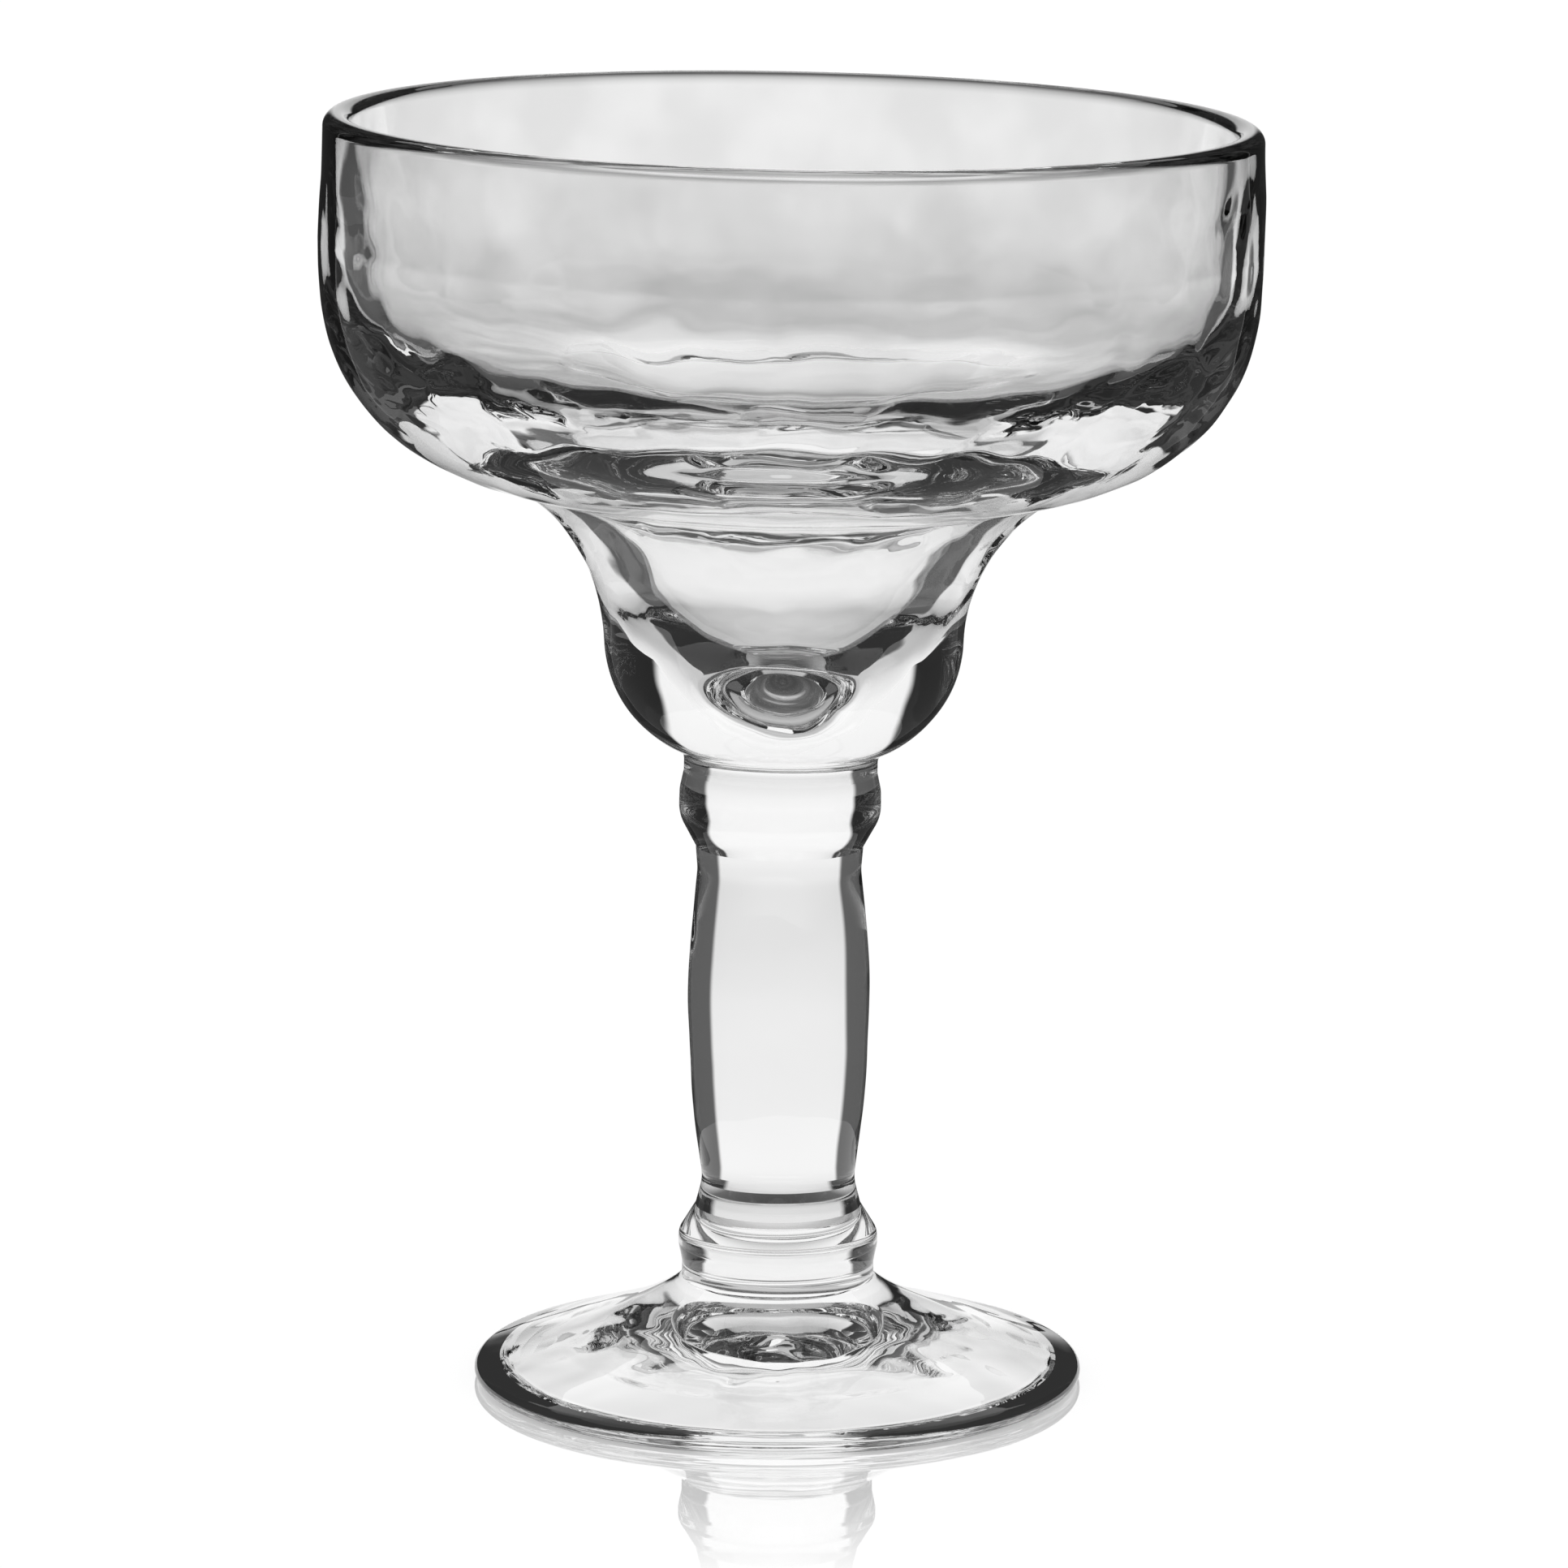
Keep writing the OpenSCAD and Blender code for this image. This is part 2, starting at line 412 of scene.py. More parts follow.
@dataclass(frozen=True)
class TableTop:
    """White table, which the camera and the glass see in two ways.

    The camera sees plain white, with a weak mirror round the foot that fades out. The glass
    sees a painted glow in place of the lit table, whose level goes by the distance from the
    glass and by how level the ray is: painted light and shade, with a painted shadow right
    under the glass.

    Attributes:
        open_painted_glow: Level of the painted glow near the glass, from straight above to level
            with the table: shares of the way, each with its level. It is darker for steep rays,
            as painted shade.
        under_painted_shadow: The same, right under the glass, darker there as a painted shadow.
        far_painted_glow: The same, well away from the glass, with painted shade for steep rays.
        slant_blend: Blend of Layer Weight, at which its Facing isn't curved.
    """

    name: str = "white_table"
    body: float = 0.58
    shadow_share: float = 0.4
    mirror: float = 0.46
    mirror_share: float = 0.2
    fade_from: float = 0.052
    fade_to: float = 0.098
    under_from: float = 0.014
    under_to: float = 0.03
    far_from: float = 0.125
    far_to: float = 0.175
    slant_blend: float = 0.5
    open_painted_glow: tuple[Point, ...] = (
        (0.0, 0.25), (0.1, 0.4), (0.2, 0.6), (0.42, 0.56), (0.5, 0.64), (0.66, 0.8),
        (0.79, 0.9), (1.0, 1.0))
    under_painted_shadow: tuple[Point, ...] = (
        (0.0, 0.06), (0.3, 0.15), (0.5, 0.6), (0.66, 0.76), (0.79, 0.88), (1.0, 1.0))
    far_painted_glow: tuple[Point, ...] = (
        (0.0, 0.06), (0.27, 0.08), (0.36, 0.26), (0.5, 0.58), (0.66, 0.8), (0.79, 0.9),
        (1.0, 1.0))

    def make(self) -> bpy.types.Material:
        """Builds the material."""
        material = bpy.data.materials.new(self.name)
        bench = Bench(material)
        place = bench.add("ShaderNodeTexCoord", {}, {}, "Object")
        away = bench.add("ShaderNodeVectorMath", {"operation": "LENGTH"}, {0: place}, "Value")
        near = bench.ramp(away, self.fade_from, self.fade_to, self.mirror, 0.0)
        glow = 1.0 + self.mirror * self.mirror_share - self.body * self.shadow_share - near
        lit = bench.add("ShaderNodeEmission", {}, {"Color": grey(1.0), "Strength": glow})
        matt = bench.add("ShaderNodeBsdfDiffuse", {}, {
            "Color": grey(self.body * self.shadow_share)})
        shine = bench.add("ShaderNodeBsdfGlossy", {}, {"Color": grey(1.0), "Roughness": 0.0})
        none = bench.add("ShaderNodeBsdfTransparent", {}, {"Color": grey(0.0)})
        mirror = bench.add("ShaderNodeMixShader", {}, {0: near, 1: none, 2: shine})
        seen = bench.add("ShaderNodeAddShader", {}, {
            0: bench.add("ShaderNodeAddShader", {}, {0: lit, 1: matt}), 1: mirror})
        # Rays from the glass see a painted glow: painted light and shade by distance and slant,
        # with a painted shadow right under the glass.
        slant = bench.add("ShaderNodeLayerWeight", {}, {"Blend": self.slant_blend}, "Facing")
        out_of_painted_shadow = bench.ramp(away, self.under_from, self.under_to, 0.0, 1.0)
        far_of = bench.ramp(away, self.far_from, self.far_to, 0.0, 1.0)
        open_glow_ramp, painted_shadow_ramp, far_glow_ramp = (
            bench.add("ShaderNodeValToRGB", {"stops": stops}, {"Fac": slant})
            for stops in (self.open_painted_glow, self.under_painted_shadow, self.far_painted_glow))
        near_painted_glow = open_glow_ramp * out_of_painted_shadow + painted_shadow_ramp * (1 - out_of_painted_shadow)
        # The glow that only the glass sees is painted light and shade of the table, not a lamp.
        through = bench.add("ShaderNodeEmission", {}, {
            "Color": near_painted_glow * (1 - far_of) + far_glow_ramp * far_of, "Strength": 1.0})
        bench.show(bench.add("ShaderNodeMixShader", {}, {
            0: bench.camera_ray(), 1: through, 2: seen}))
        return material


@dataclass(frozen=True)
class StudioCard:
    """Dark card that gives clear glass its edges, and fades out along its inner edge.

    Attributes:
        level: How bright it is.
        edge: Angles from straight behind the glass between which it fades in, in degrees.
    """

    name: str
    level: float
    edge: tuple[float, float]

    def make(self) -> bpy.types.Material:
        """Builds the material."""
        material = bpy.data.materials.new(self.name)
        bench = Bench(material)
        place = bench.add("ShaderNodeTexCoord", {}, {}, "Object")
        across = bench.add("ShaderNodeSeparateXYZ", {}, {0: place}, "X")
        along = bench.add("ShaderNodeSeparateXYZ", {}, {0: place}, "Y")
        side = bench.add("ShaderNodeMath", {"operation": "ABSOLUTE"}, {0: across})
        turn = bench.add("ShaderNodeMath", {"operation": "ARCTAN2"}, {0: side, 1: along})
        start, end = (math.radians(angle) for angle in self.edge)
        solid = bench.ramp(turn, start, end, 0.0, 1.0)
        bench.show(bench.add("ShaderNodeMixShader", {}, {
            0: solid,
            1: bench.add("ShaderNodeBsdfTransparent", {}, {"Color": grey(1.0)}),
            2: bench.add("ShaderNodeEmission", {}, {
                "Color": grey(self.level), "Strength": 1.0})}))
        return material


# The glass

@dataclass(frozen=True)
class Hammering:
    """Soft dents that the mould leaves in the glass.

    Attributes:
        depth: How far they go up and down, in millimetres.
        patch: Distance from one dent to the next, in millimetres.
        shift: Moves the pattern, so that no two pieces have the same dents.
        fine_share: How deep the small marks on the dents are, beside the dents.
        finer: How many small marks go into one dent's width.
        crosswise: How many times as far the pattern moves across as along.
    """

    depth: float
    patch: float
    shift: float = 0.0
    fine_share: float = 0.26
    finer: float = 2.3
    crosswise: float = 1.7

    def at(self, points: np.ndarray) -> np.ndarray:
        """Gives the dent at each point.

        Args:
            points: The points, in millimetres.

        Returns:
            How far each goes out, in millimetres.
        """
        moved = Vector((self.shift, self.shift * self.crosswise, 0.0))
        places = [Vector(p) / self.patch + moved for p in points]
        return self.depth * np.array([
            noise.noise(p) + self.fine_share * noise.noise(p * self.finer) for p in places])


@dataclass(frozen=True)
class Lean:
    """The bowl stands a little off the upright.

    Attributes:
        side: Lean towards +X, in degrees.
        back: Lean away from the camera, towards +Y, in degrees.
        start: Height where it starts, in millimetres.
        end: Height where it is whole, in millimetres.
    """

    side: float = 0.924
    back: float = 0.248
    start: float = 64.0
    end: float = 78.0

    def bent(self, points: np.ndarray) -> np.ndarray:
        """Leans the points that are above the start.

        Args:
            points: The points, in millimetres.

        Returns:
            Where each of them goes.
        """
        up = points[:, 2]
        run = self.end - self.start
        rise = np.clip(up - self.start, 0.0, None)
        share = np.clip(rise / run, 0.0, 1.0)
        along = np.where(rise < run, rise ** 2 / (2 * run), rise - run / 2)
        made = points.copy()
        for axis, degrees in ((0, self.side), (1, self.back)):
            angle = math.radians(degrees)
            made[:, 2] -= points[:, axis] * np.sin(angle * share)
            made[:, axis] += along * math.sin(angle)
        return made


@dataclass
class TurnedPiece:
    """A closed solid of revolution, fused to its neighbours at flat seams.

    Attributes:
        name: What the piece is called.
        node: The CAD node that it stands in for.
        seam_z: Height of its lower end, in millimetres.
        around: Points round each ring.
        step: Longest step along its outline, in millimetres.
        turn: Most that the outline turns in a step, in degrees.
        seam_below: Whether its lower end is fused to a neighbour.
        seam_above: Whether its upper end is.
        lean: How the glass leans.
    """

    name: str
    node: str
    seam_z: float
    around: int = 256
    step: float = 0.8
    turn: float = 4.0
    seam_below: bool = True
    seam_above: bool = True
    lean: Lean = field(default_factory=Lean)

    def outline(self) -> list[Point]:
        """Draws half the section, from the axis at the bottom out and up to the axis."""
        raise NotImplementedError

    def dents(self, points: np.ndarray, ring: np.ndarray) -> np.ndarray:
        """Gives how far the surface goes in or out.

        Args:
            points: The points of the surface, in millimetres.
            ring: Each point's place along the outline, as a number.

        Returns:
            How far each goes out, in millimetres.
        """
        return np.zeros(len(points))

    def build(self) -> bpy.types.Object:
        """Turns the outline into a closed mesh."""
        drawn = np.array(self.outline())
        drawn[:, 1] += self.seam_z
        flow = np.gradient(drawn, axis=0)
        flow /= np.maximum(np.linalg.norm(flow, axis=1, keepdims=True), NO_LENGTH)
        rings = np.arange(1, len(drawn) - 1)
        angle = np.arange(self.around) * 2 * math.pi / self.around
        c, s = np.cos(angle), np.sin(angle)
        r, z = drawn[rings, 0][:, None], drawn[rings, 1][:, None]
        points = np.stack([r * c, r * s, z + 0 * c], -1).reshape(-1, 3)
        out, up = flow[rings, 1][:, None], -flow[rings, 0][:, None]
        normals = np.stack([out * c, out * s, up + 0 * c], -1).reshape(-1, 3)
        ring = np.repeat(rings, self.around)
        points += normals * self.dents(points, ring)[:, None]
        ends = np.array([[0.0, 0.0, drawn[0, 1]], [0.0, 0.0, drawn[-1, 1]]])
        points = self.lean.bent(np.concatenate([points, ends])) * MM
        low, high = len(points) - 2, len(points) - 1
        faces, last = [], len(rings) - 1
        for j in range(self.around):
            k = (j + 1) % self.around
            faces.append((low, k, j))
            faces.append((last * self.around + j, last * self.around + k, high))
        for i in range(last):
            a, b = i * self.around, (i + 1) * self.around
            for j in range(self.around):
                k = (j + 1) % self.around
                faces.append((a + j, a + k, b + k, b + j))
        mesh = bpy.data.meshes.new(self.name)
        mesh.from_pydata(points.tolist(), [], faces)
        mesh.validate()
        mesh.update()
        piece = bpy.data.objects.new(self.name, mesh)
        bpy.context.scene.collection.objects.link(piece)
        return piece

    def dress(self, piece: bpy.types.Object, glass: bpy.types.Material,
              seam: bpy.types.Material) -> None:
        """Gives the piece its glass, with clear flats inside its fused seams.

        Args:
            piece: The turned mesh.
            glass: Material of its outside.
            seam: Material of the flats.
        """
        mesh = piece.data
        mesh.materials.append(glass)
        mesh.materials.append(seam)
        flat = np.zeros(len(mesh.polygons), dtype=np.int32)
        if self.seam_below:
            flat[0:2 * self.around:2] = 1
        if self.seam_above:
            flat[1:2 * self.around:2] = 1
        mesh.polygons.foreach_set("material_index", flat)
        mesh.polygons.foreach_set("use_smooth", flat == 0)
        mesh.set_sharp_from_angle(angle=math.radians(SHARP_ANGLE))
        mesh.update()

    def place(self, piece: bpy.types.Object) -> None:
        """Stands the piece in for its CAD node."""
        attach(piece, BODY)
        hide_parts(self.node)


@dataclass
class Foot(TurnedPiece):
    """Coned disc with a round lip, a flat resting ring and a shallow hollow under it."""

    name: str = "glass_foot"
    node: str = "foot"
    seam_z: float = 0.0
    seam_below: bool = False
    diameter: float = 76.6
    height: float = 13.1
    lip: float = 2.4
    slope: float = 17.9
    resting_ring: float = 4.0
    hollow: float = 6.0
    top_d: float = 24.2
    straight_share: float = 0.4
    knee_share: float = 0.82
    hammering: Hammering = Hammering(0.2, 8.0, 3.1)
    top_from_share: float = 0.9
    seam_fade: float = 4.0
    lip_fade: float = 3.0

    def outline(self) -> list[Point]:
        """Draws the hollow, the ring, the lip and the cone."""
        lip_r = self.lip / 2
        hollow_r = self.diameter / 2 - lip_r - self.resting_ring
        cap_r = (hollow_r ** 2 + self.hollow ** 2) / (2 * self.hollow)
        cap_turn = math.asin(hollow_r / cap_r)
        cap = [(cap_r * math.sin(cap_turn * i / LONG_STEPS),
                cap_r * (math.cos(cap_turn * i / LONG_STEPS) - 1) + self.hollow)
               for i in range(LONG_STEPS + 1)]
        lean = math.radians(self.slope)
        start = (self.diameter / 2 - lip_r + lip_r * math.sin(lean),
                 lip_r + lip_r * math.cos(lean))
        seam = (self.top_d / 2, self.height)

        def on_slope(share: float) -> Point:
            """Gives the point on the straight slope a share of the way in."""
            run = (start[0] - seam[0]) * share
            return (start[0] - run, start[1] + run * math.tan(lean))

        lip = arc((self.diameter / 2 - lip_r, lip_r), lip_r, -90, 90 - self.slope, 2 * ROUND_STEPS)
        cone = bend(on_slope(self.straight_share), on_slope(self.knee_share), seam, LONG_STEPS)
        return graded(cap + lip + cone, self.step, self.turn) + [(0.0, self.height)]

    def dents(self, points: np.ndarray, ring: np.ndarray) -> np.ndarray:
        """Hammers the cone, and leaves the seam and the resting ring true."""
        far = np.hypot(points[:, 0], points[:, 1])
        top = points[:, 2] > self.lip * self.top_from_share
        fade = np.clip((far - self.top_d / 2) / self.seam_fade, 0, 1) * np.clip(
            (self.diameter / 2 - far) / self.lip_fade, 0, 1)
        return np.where(top, fade, 0.0) * self.hammering.at(points)


@dataclass
class LowerKnop(TurnedPiece):
    """Short drum that swells above its middle and rounds in to the stem."""

    name: str = "glass_lower_knop"
    node: str = "lower_knop"
    seam_z: float = 13.1
    step: float = 0.5
    bottom_d: float = 24.2
    wide_d: float = 25.1
    top_d: float = 20.8
    height: float = 9.2
    side_share: float = 0.22
    wide_share: float = 0.46
    turn_share: float = 0.62
    softness: float = 2.2

    def outline(self) -> list[Point]:
        """Draws the drum."""
        bottom, wide, top, h = self.bottom_d / 2, self.wide_d / 2, self.top_d / 2, self.height
        side = soften(
            [(0.0, 0.0), (bottom, 0.0), (bottom, h * self.side_share),
             (wide, h * self.wide_share), (wide, h * self.turn_share), (top, h), (0.0, h)],
            [0, 0, self.softness, self.softness, self.softness, 0, 0])
        return [side[0]] + graded(side[1:-1], self.step, self.turn) + [side[-1]]


@dataclass
class Stem(TurnedPiece):
    """Baluster with a waist over the lower knop, a long barrel and a taper to the top."""

    name: str = "glass_stem"
    node: str = "stem"
    seam_z: float = 22.3
    bottom_d: float = 20.8
    waist_d: float = 19.0
    lower_d: float = 21.8
    wide_d: float = 23.1
    top_d: float = 21.0
    height: float = 46.1
    waist_share: float = 0.074
    lower_share: float = 0.285
    wide_share: float = 0.645
    throat_share: float = 0.935
    throat_d_share: float = 0.976
    waist_round: float = 6.0
    barrel_round: float = 400.0
    hammering: Hammering = Hammering(0.1, 9.0, 5.3)
    seam_fade: float = 6.0

    def outline(self) -> list[Point]:
        """Draws the baluster."""
        h, top = self.height, self.top_d / 2
        side = soften(
            [(0.0, 0.0), (self.bottom_d / 2, 0.0),
             (self.waist_d / 2, h * self.waist_share), (self.lower_d / 2, h * self.lower_share),
             (self.wide_d / 2, h * self.wide_share),
             (top * self.throat_d_share, h * self.throat_share), (top, h), (0.0, h)],
            [0, 0, self.waist_round, self.barrel_round, self.barrel_round, self.waist_round, 0, 0])
        return [side[0]] + graded(side[1:-1], self.step, self.turn) + [side[-1]]

    def dents(self, points: np.ndarray, ring: np.ndarray) -> np.ndarray:
        """Hammers the barrel, and leaves both seams true."""
        up = points[:, 2] - self.seam_z
        fade = np.clip(np.minimum(up, self.height - up) / self.seam_fade, 0, 1)
        return fade * self.hammering.at(points)


@dataclass
class UpperKnop(TurnedPiece):
    """Round collar between the stem and the bowl."""

    name: str = "glass_upper_knop"
    node: str = "upper_knop"
    seam_z: float = 68.4
    step: float = 0.5
    bottom_d: float = 21.0
    wide_d: float = 25.3
    top_d: float = 24.2
    height: float = 9.4
    swell_share: float = 0.42
    turn_share: float = 0.76
    turn_d_share: float = 0.995
    softness: float = 5.0

    def outline(self) -> list[Point]:
        """Draws the collar."""
        h, wide = self.height, self.wide_d / 2
        side = soften(
            [(0.0, 0.0), (self.bottom_d / 2, 0.0), (wide, h * self.swell_share),
             (wide * self.turn_d_share, h * self.turn_share), (self.top_d / 2, h), (0.0, h)],
            [0, 0, self.softness, self.softness, 0, 0])
        return [side[0]] + graded(side[1:-1], self.step, self.turn) + [side[-1]]


@dataclass
class Bowl(TurnedPiece):
    """Wide dish over a narrow thick-walled well, in one gather of glass."""

    name: str = "glass_bowl"
    node: str = "bowl"
    seam_z: float = 77.8
    seam_above: bool = False
    neck_d: float = 24.2
    neck_side: float = 2.4
    neck_soft: float = 2.0
    neck_soft_turn: float = 9.0
    well_d: float = 44.8
    well_round: float = 15.8
    well_flare: float = 2.5
    shoulder_round: float = 24.0
    shoulder_d: float = 68.0
    mouth_d: float = 77.0
    mouth_round: float = 30.0
    hollow_flare: float = 18.0
    hollow_depth: float = 36.0
    dish_d: float = 116.5
    dish_h: float = 46.6
    belly_h: float = 31.4
    dish_flat_d: float = 38.0
    wall: float = 5.0
    floor: float = 11.0
    rim_d: float = 115.8
    rim: float = 3.5
    dish_squareness: float = 2.63
    inner_squareness: float = 2.7
    outer: Hammering = Hammering(0.2, 8.0, 0.0)
    inner: Hammering = Hammering(0.16, 9.0, 7.7)
    neck_true: float = 3.0
    neck_fade: float = 8.0
    rim_true: float = 2.0
    rim_fade: float = 6.0

    def __post_init__(self) -> None:
        """Works out the places that the outline is drawn from."""
        flare = math.radians(self.well_flare)
        self.well_centre_r = self.well_d / 2 - self.well_round * math.cos(flare)
        turn = math.acos((self.neck_d / 2 - self.well_centre_r) / self.well_round)
        self.neck_turn = math.degrees(turn)
        self.well_centre_z = self.neck_side + self.well_round * math.sin(turn)
        self.shoulder_centre = (
            self.well_d / 2 + self.shoulder_round * math.cos(flare),
            self.well_centre_z - (self.well_round + self.shoulder_round) * math.sin(flare))
        shoulder = math.acos((self.shoulder_centre[0] - self.shoulder_d / 2) / self.shoulder_round)
        self.shoulder_turn = math.degrees(shoulder)
        shoulder_z = self.shoulder_centre[1] + self.shoulder_round * math.sin(shoulder)
        self.dish_a = (self.dish_d - self.dish_flat_d) / 2
        self.shoulder_share = (self.shoulder_d - self.dish_flat_d) / 2 / self.dish_a
        dish_z = shoulder_z - self.belly_h * (
            1 - squared_rise(self.shoulder_share, self.dish_squareness))
        self.belly_z = dish_z + self.belly_h
        self.rim_z = dish_z + self.dish_h
        self.floor_z = dish_z + self.floor

    def outside(self) -> list[Point]:
        """Draws the outside, from the neck seam up to the belly of the dish."""
        well = arc((self.well_centre_r, self.well_centre_z), self.well_round,
                   self.neck_soft_turn - self.neck_turn, -self.well_flare, LONG_STEPS)
        neck = soft_corner((self.neck_d / 2, 0.0), (self.neck_d / 2, self.neck_side),
                           well[0], self.neck_soft)
        shoulder = arc(self.shoulder_centre, self.shoulder_round,
                       180 - self.well_flare, 180 - self.shoulder_turn, LONG_STEPS)
        dish = squared_arc((self.dish_flat_d / 2, self.belly_z), self.dish_a, self.belly_h,
                           self.dish_squareness,
                           squared_angle(self.shoulder_share, self.dish_squareness),
                           0, 2 * LONG_STEPS)
        return [(self.neck_d / 2, 0.0)] + neck + well + shoulder[1:] + dish[1:]

    def over_the_rim(self) -> list[Point]:
        """Draws the rounded rim, over the top from the outside to the inside."""
        return arc((self.rim_d / 2 - self.rim / 2, self.rim_z - self.rim / 2), self.rim / 2,
                   0, 180, 4 * ROUND_STEPS)

    def inside(self) -> list[Point]:
        """Draws the inside, from the belly over the floor down into the well."""
        wide, deep, n = self.dish_a - self.wall, self.belly_h - self.floor, self.inner_squareness
        share = (self.mouth_d - self.dish_flat_d) / 2 / wide
        rise = squared_rise(share, n)
        slope = math.atan(deep / wide * (share / rise) ** (n - 1))
        flare = math.radians(self.hollow_flare)
        centre = (self.mouth_d / 2 + self.mouth_round * math.sin(slope),
                  self.belly_z - deep * rise - self.mouth_round * math.cos(slope))
        top = (centre[0] - self.mouth_round * math.cos(flare),
               centre[1] + self.mouth_round * math.sin(flare))
        end_z = self.floor_z - self.hollow_depth
        knee = (top[0] - (top[1] - end_z) * math.tan(flare), end_z)
        dish = squared_arc((self.dish_flat_d / 2, self.belly_z), wide, deep, n, 0,
                           squared_angle(share, n), 2 * LONG_STEPS)
        mouth = arc(centre, self.mouth_round, 90 + math.degrees(slope),
                    180 - self.hollow_flare, LONG_STEPS)
        hollow = bend(top, knee, (0.0, end_z), LONG_STEPS)
        return dish + mouth[1:] + hollow[1:]

    def outline(self) -> list[Point]:
        """Draws the bowl."""
        outside = graded(self.outside() + self.over_the_rim(), self.step, self.turn)
        inside = graded(self.inside(), self.step, self.turn)
        self.turning_ring = len(outside)
        return [(0.0, 0.0)] + outside + inside

    def dents(self, points: np.ndarray, ring: np.ndarray) -> np.ndarray:
        """Hammers the dish and the well, and leaves the neck and the rim true."""
        up = points[:, 2] - self.seam_z
        fade = np.clip((up - self.neck_true) / self.neck_fade, 0, 1) * np.clip(
            (self.rim_z - up - self.rim_true) / self.rim_fade, 0, 1)
        outside = ring <= self.turning_ring
        return fade * np.where(outside, self.outer.at(points), self.inner.at(points))


# The studio

class Stance(Enum):
    """How a card is put up, with its distances from the glass's axis in metres."""

    STANDING = (1.5, 1.5)
    NEAR = (0.0345, 0.1)
    FAR = (0.1, 1.5)


class Sight(Enum):
    """How the glass shows a card: whether through it, and whether mirrored in it."""

    BOTH = (True, True)
    THROUGH = (True, False)
    MIRRORED = (False, True)


@dataclass(frozen=True)
class Card:
    """A dark card on each side of the glass, bent round it.

    Attributes:
        name: What it is called.
        level: How bright it is.
        reach: Angles from straight behind the glass that it spans, in degrees.
        edge: Angles between which it fades in.
        stance: Whether it stands on the table, or lies near the glass or far from it.
        sight: How the glass shows it.
        height: Height of a standing card's head, in metres.
        lift: Height of its foot, or of a lying card.
    """

    name: str
    level: float
    reach: tuple[float, float]
    edge: tuple[float, float]
    stance: Stance = Stance.STANDING
    sight: Sight = Sight.BOTH
    height: float = 1.1
    steps: int = 32
    lift: float = 0.0004

    def build(self, side: int) -> bpy.types.Object:
        """Builds the card for one side.

        Args:
            side: -1 for the left and 1 for the right.

        Returns:
            The card, which only glass sees.
        """
        start, end = (math.radians(angle) for angle in self.reach)
        near, far = self.stance.value
        top = self.height if self.stance is Stance.STANDING else self.lift
        foot, head = (near, self.lift), (far, top)
        points, faces = [], []
        for i in range(self.steps + 1):
            turn = side * (start + (end - start) * i / self.steps)
            for away, up in (foot, head):
                points.append((away * math.sin(turn), away * math.cos(turn), up))
        for i in range(self.steps):
            faces.append((2 * i, 2 * i + 2, 2 * i + 3, 2 * i + 1))
        mesh = bpy.data.meshes.new(self.name)
        mesh.from_pydata(points, [], faces)
        mesh.materials.append(StudioCard(self.name, self.level, self.edge).make())
        card = bpy.data.objects.new(self.name, mesh)
        card.visible_camera = card.visible_diffuse = card.visible_shadow = False
        card.visible_transmission, card.visible_glossy = self.sight.value
        bpy.context.scene.collection.objects.link(card)
        return card


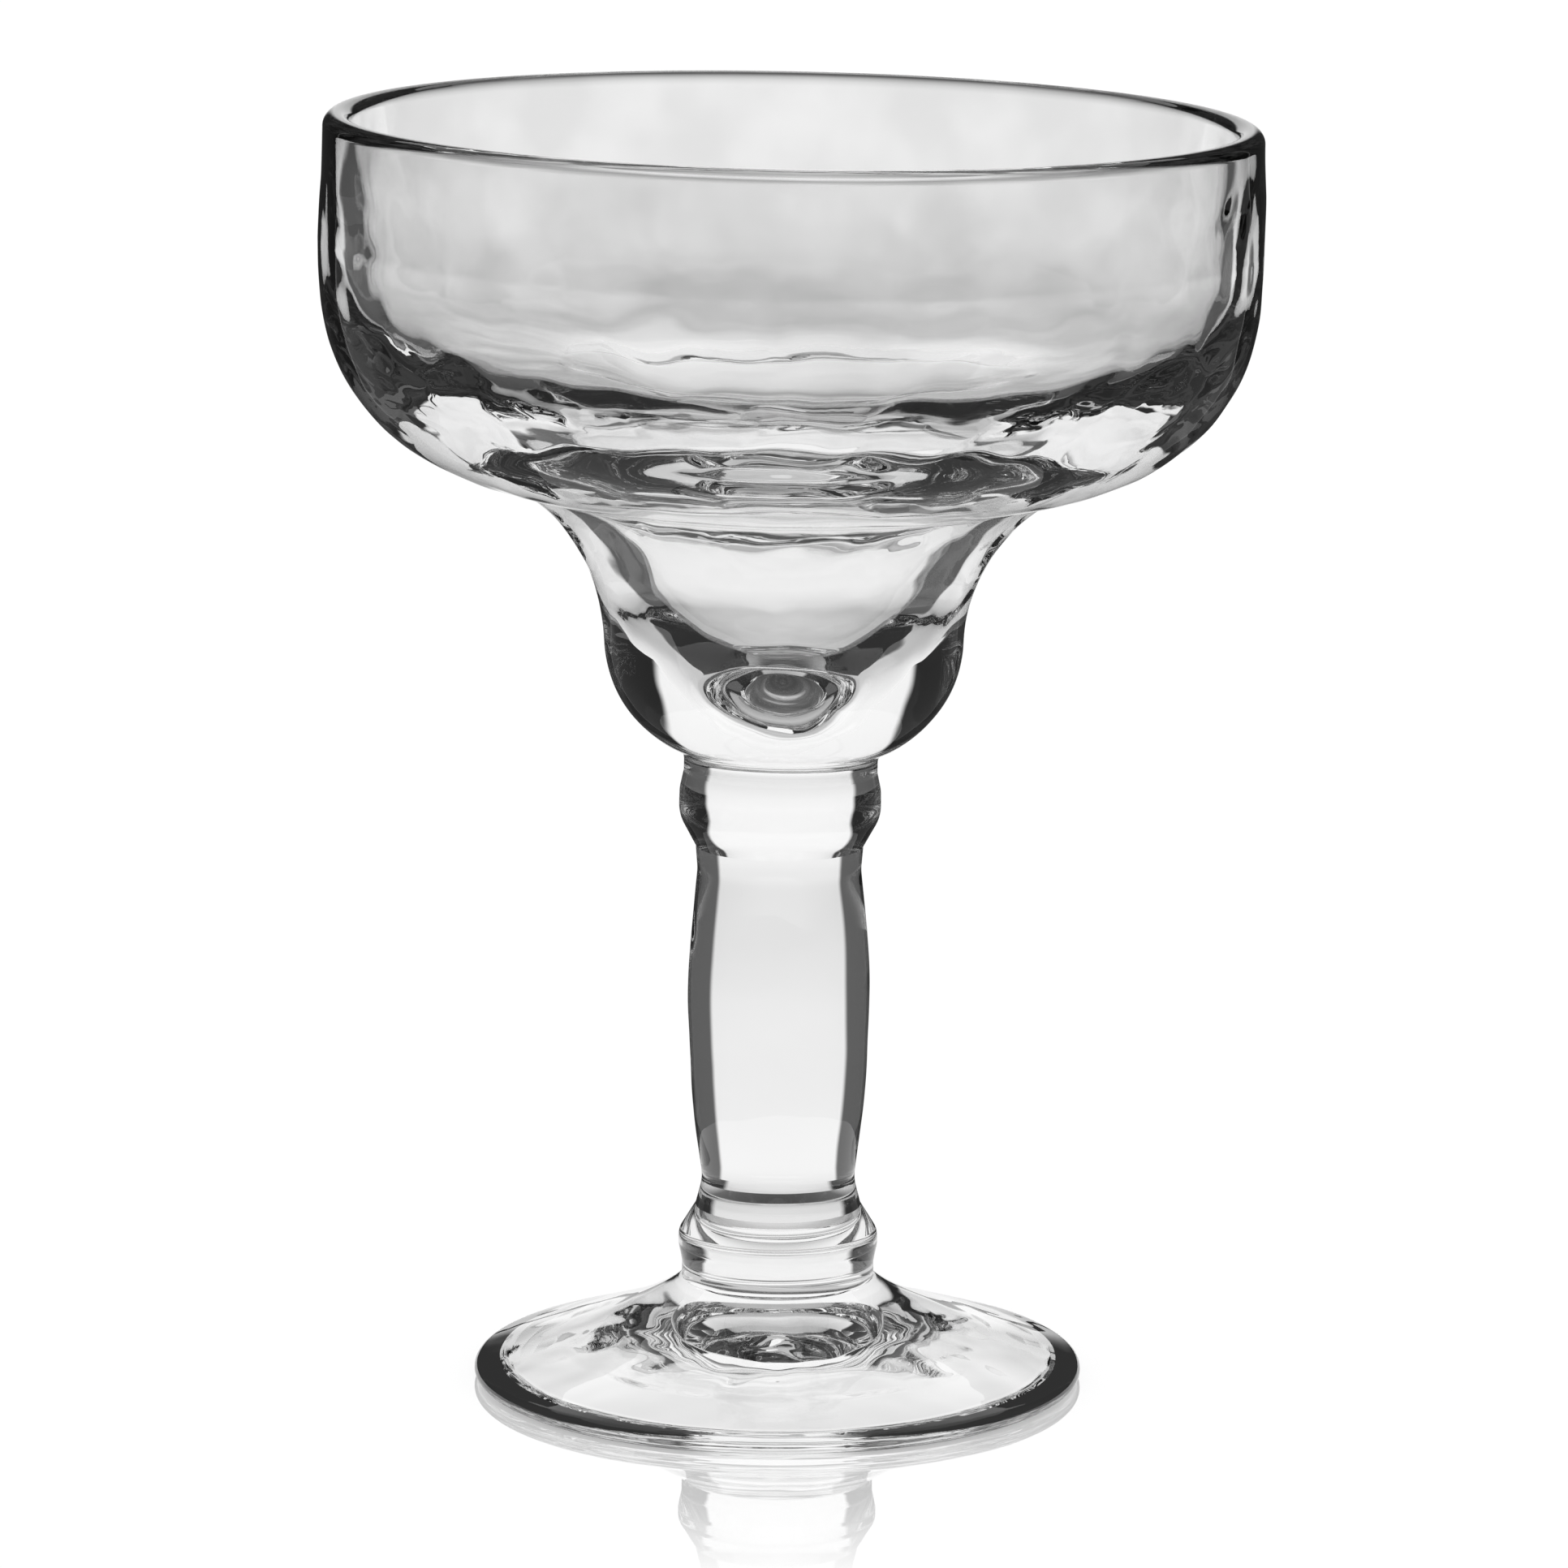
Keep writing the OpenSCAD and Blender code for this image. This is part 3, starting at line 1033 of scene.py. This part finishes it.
@dataclass
class Studio:
    """White table and surround, dark cards, and the camera of the photograph.

    The cards turn with the camera, so the glass gets the same dark edges from each side.
    """

    table_size: float = 12.0
    table_drop: float = 0.00002
    camera_place: Point = (0.0, -0.98287)
    camera_height: float = 0.26939
    pitch: float = 11.125
    yaw: float = 0.031
    roll: float = 0.252
    lens_px: float = 9889.2
    sensor: float = 36.0
    backdrop: float = 1.0
    ceiling: float = 0.5
    ceiling_from: float = 34.0
    ceiling_to: float = 50.0
    light_bounces: int = 24
    mirror_bounces: int = 16
    cards: tuple[Card, ...] = (
        Card("side_card", 0.015, (33.5, 62.0), (33.5, 37.5), height=1.4),
        Card("wing_card", 0.04, (58.0, 95.0), (58.0, 62.0), height=1.7),
        Card("front_card", 0.02, (90.0, 180.0), (90.0, 95.0), height=5.0),
        Card("edge_card", 0.03, (7.0, 36.0), (7.0, 12.0), sight=Sight.MIRRORED),
        # The cards that lie on the table are dark sheets that the camera doesn't see: painted
        # shade on the table, as the glass shows it.
        Card("far_edge_card", 0.03, (7.0, 36.0), (7.0, 12.0), Stance.FAR, Sight.MIRRORED),
        Card("table_card", 0.03, (26.0, 95.0), (26.0, 32.0), Stance.NEAR, Sight.THROUGH),
        Card("front_table_card", 0.03, (90.0, 156.0), (90.0, 95.0), Stance.NEAR, Sight.THROUGH,
             lift=0.0003),
        Card("mid_table_card", 0.03, (156.0, 180.0), (173.0, 160.0), Stance.NEAR, Sight.THROUGH,
             lift=0.0003),
        Card("far_table_card", 0.12, (33.5, 95.0), (33.5, 38.0), Stance.FAR),
        Card("far_front_table_card", 0.04, (90.0, 180.0), (90.0, 95.0), Stance.FAR, lift=0.0003))

    def lay_table(self) -> bpy.types.Object:
        """Lays the white table under the glass."""
        half = self.table_size / 2
        mesh = bpy.data.meshes.new("table")
        mesh.from_pydata([(-half, -half, 0), (half, -half, 0), (half, half, 0), (-half, half, 0)],
                         [], [(0, 1, 2, 3)])
        table = bpy.data.objects.new("table", mesh)
        table.location.z = -self.table_drop
        mesh.materials.append(TableTop().make())
        bpy.context.scene.collection.objects.link(table)
        return table

    def light_surround(self) -> None:
        """Makes the surround plain white, and dimmer overhead for all but the camera."""
        world = bpy.data.worlds.new("white_surround")
        bpy.context.scene.world = world
        bench = Bench(world)
        way = bench.add("ShaderNodeTexCoord", {}, {}, "Generated")
        height = bench.add("ShaderNodeSeparateXYZ", {}, {0: way}, "Z")
        level = bench.ramp(height, math.sin(math.radians(self.ceiling_from)),
                           math.sin(math.radians(self.ceiling_to)),
                           self.backdrop, self.ceiling)
        seen = bench.camera_ray()
        bench.show(bench.add("ShaderNodeBackground", {}, {
            "Color": grey(1.0), "Strength": seen + (1 - seen) * level}),
            "ShaderNodeOutputWorld")

    def aim_camera(self) -> bpy.types.Object:
        """Sets the camera at the photograph's viewing angle."""
        pitch, yaw, roll = (math.radians(a) for a in (self.pitch, self.yaw, self.roll))
        forward = Vector((math.sin(yaw) * math.cos(pitch), math.cos(yaw) * math.cos(pitch),
                          -math.sin(pitch)))
        level = Vector((math.cos(yaw), -math.sin(yaw), 0.0))
        upright = level.cross(forward)
        right = level * math.cos(roll) + upright * math.sin(roll)
        up = upright * math.cos(roll) - level * math.sin(roll)
        data = bpy.data.cameras.new("camera")
        data.sensor_width = self.sensor
        data.lens = self.lens_px / PHOTO_WIDTH * self.sensor
        camera = bpy.data.objects.new("camera", data)
        turn = Matrix((right, up, -forward)).transposed().to_4x4()
        camera.matrix_world = Matrix.Translation(
            (*self.camera_place, self.camera_height)) @ turn
        bpy.context.scene.collection.objects.link(camera)
        bpy.context.scene.camera = camera
        return camera

    def stand_cards(self, camera: bpy.types.Object) -> None:
        """Puts the dark cards round the glass, on a stand that turns with the camera.

        Args:
            camera: The camera that the stand turns to.
        """
        stand = bpy.data.objects.new("card_stand", None)
        bpy.context.scene.collection.objects.link(stand)
        follow = stand.constraints.new("LOCKED_TRACK")
        follow.target, follow.track_axis, follow.lock_axis = camera, "TRACK_NEGATIVE_Y", "LOCK_Z"
        for card in self.cards:
            for side in (-1, 1):
                made = card.build(side)
                made.parent = stand

    def set_view(self) -> None:
        """Keeps colours as they are written, and lets light reach the bottom of thick glass."""
        scene = bpy.context.scene
        scene.view_settings.view_transform = "Standard"
        scene.cycles.max_bounces = self.light_bounces
        scene.cycles.transmission_bounces = self.light_bounces
        scene.cycles.glossy_bounces = self.mirror_bounces
        scene.cycles.transparent_max_bounces = self.light_bounces


def main() -> None:
    """Builds the glass and its studio, piece by piece."""
    logging.basicConfig(level=logging.INFO, format="%(name)s: %(message)s")
    glass, seam = PressedGlass().make(), FusedSeam().make()
    for part in (Foot(), LowerKnop(), Stem(), UpperKnop(), Bowl()):
        piece = part.build()
        part.dress(piece, glass, seam)
        part.place(piece)
        log.info("%s: %d points, %d faces", part.name, len(piece.data.vertices),
                 len(piece.data.polygons))
    studio = Studio()
    studio.lay_table()
    studio.light_surround()
    camera = studio.aim_camera()
    studio.stand_cards(camera)
    studio.set_view()


if __name__ == "__main__":
    main()
